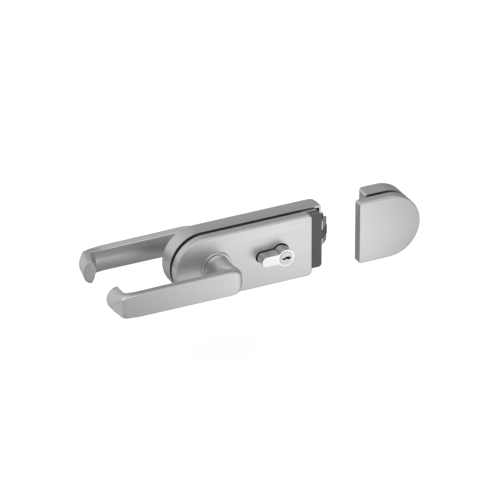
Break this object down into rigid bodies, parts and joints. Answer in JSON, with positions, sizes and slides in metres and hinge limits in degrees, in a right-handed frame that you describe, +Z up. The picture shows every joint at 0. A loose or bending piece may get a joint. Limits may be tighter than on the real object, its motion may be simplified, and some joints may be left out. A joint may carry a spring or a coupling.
{
  "type": "glass door lever lockset",
  "caption": "Lever lock for a frameless glass door: two levers, slanted latch, deadbolt worked by a profile cylinder, clamped halves and a strike box.",
  "frame": {"origin": "the lever spindle's axis in the plane where the rear half seats on the glass", "axes": "+X from the levers towards the strike box, +Y from the front face to the rear, +Z up"},
  "size_m": [0.3313, 0.1036, 0.0638],
  "materials": {
    "brushed": "satin",
    "zinc_plate": "zinc plated",
    "zinc_cast": "cast zinc",
    "screw_steel": "plain",
    "dark_screw": "black oxide",
    "sleeve": "matte",
    "gasket": "matte",
    "dark_plastic": "matte",
    "buffer_rubber": "matte",
    "bolt_metal": "nickel plated",
    "spring_steel": "bright",
    "cylinder_nickel": "satin nickel",
    "plug_nickel": "satin nickel"
  },
  "bodies": {
    "lock": {"rear_case": "brushed", "rear_base_plate": "zinc_plate", "rear_gasket": "gasket", "mechanism_plate": "zinc_plate", "mechanism_posts": "screw_steel", "mechanism_screws": "screw_steel", "clamp_nuts": "screw_steel", "spacer_sleeves": "sleeve", "rear_case_screws": "dark_screw", "latch_springs": "spring_steel", "spring_stops": "zinc_plate", "follower_bushes": "dark_plastic", "lever_spring": "spring_steel", "lever_spring_stop": "zinc_plate", "cylinder_body": "cylinder_nickel", "cylinder_screw": "screw_steel", "deadbolt_leaf_spring": "spring_steel", "edge_block": "dark_plastic", "edge_block_screws": "dark_screw", "edge_plate": "zinc_plate", "door_buffer": "buffer_rubber", "rear_collar": "brushed", "strike_case": "brushed", "strike_pocket": "dark_plastic", "strike_base_plate": "zinc_plate", "strike_gasket": "gasket", "strike_nuts": "screw_steel", "strike_sleeves": "sleeve", "rebate_pad": "gasket"},
    "lever": {"rear_lever": "brushed", "rear_set_screw": "dark_screw", "spindle": "screw_steel", "follower": "zinc_cast"},
    "front_half": {"front_cover": "brushed", "front_base_plate": "zinc_plate", "front_gasket": "gasket", "clamp_screws": "screw_steel", "front_cover_screws": "dark_screw", "front_collar": "brushed"},
    "front_lever": {"front_lever": "brushed", "front_set_screw": "dark_screw"},
    "latch": {"latch_bolt": "bolt_metal", "latch_nose": "dark_plastic", "latch_nose_pin": "screw_steel", "latch_tail": "zinc_plate"},
    "deadbolt": {"deadbolt": "bolt_metal"},
    "front_key": {"front_plug": "plug_nickel", "cylinder_cam": "zinc_cast"},
    "rear_key": {"rear_plug": "plug_nickel"},
    "strike_front": {"strike_cover": "brushed", "strike_front_plate": "zinc_plate", "strike_front_gasket": "gasket", "strike_clamp_screws": "screw_steel"}
  },
  "joints": [
    {"name": "lever_turn", "type": "hinge", "parent": "lock", "child": "lever", "pos_m": [0, 0, 0], "axis": [0, -1, 0], "range_deg": [0, 40], "stiffness_Nm_per_rad": 2, "springref_deg": -34.38, "deforming": ["lever_spring"]},
    {"name": "clamp_travel", "type": "slide", "parent": "lock", "child": "front_half", "axis": [0, -1, 0], "range_m": [0, 0.0076]},
    {"name": "front_lever_turn", "type": "hinge", "parent": "front_half", "child": "front_lever", "pos_m": [0, 0, 0], "axis": [0, -1, 0], "range_deg": [0, 40]},
    {"name": "latch_slide", "type": "slide", "parent": "lock", "child": "latch", "axis": [-1, 0, 0], "range_m": [0, 0.0114], "deforming": ["latch_springs"]},
    {"name": "key_turn", "type": "hinge", "parent": "lock", "child": "front_key", "pos_m": [0.066, 0, 0], "axis": [0, -1, 0], "range_deg": [0, 70]},
    {"name": "deadbolt_slide", "type": "slide", "parent": "lock", "child": "deadbolt", "axis": [1, 0, 0], "range_m": [0, 0.014]},
    {"name": "rear_key_turn", "type": "hinge", "parent": "lock", "child": "rear_key", "pos_m": [0.066, 0, 0], "axis": [0, 1, 0], "range_deg": [0, 70]},
    {"name": "strike_clamp_travel", "type": "slide", "parent": "lock", "child": "strike_front", "axis": [0, -1, 0], "range_m": [0, 0.0076]}
  ],
  "couplings": [
    {"joint": "front_lever_turn", "follows": "lever_turn", "ratio": 1},
    {"joint": "latch_slide", "follows": "lever_turn", "m_per_rad": 0.01632},
    {"joint": "key_turn", "follows": "deadbolt_slide", "rad_per_m": 87.26},
    {"joint": "strike_clamp_travel", "follows": "clamp_travel", "ratio": 1}
  ]
}
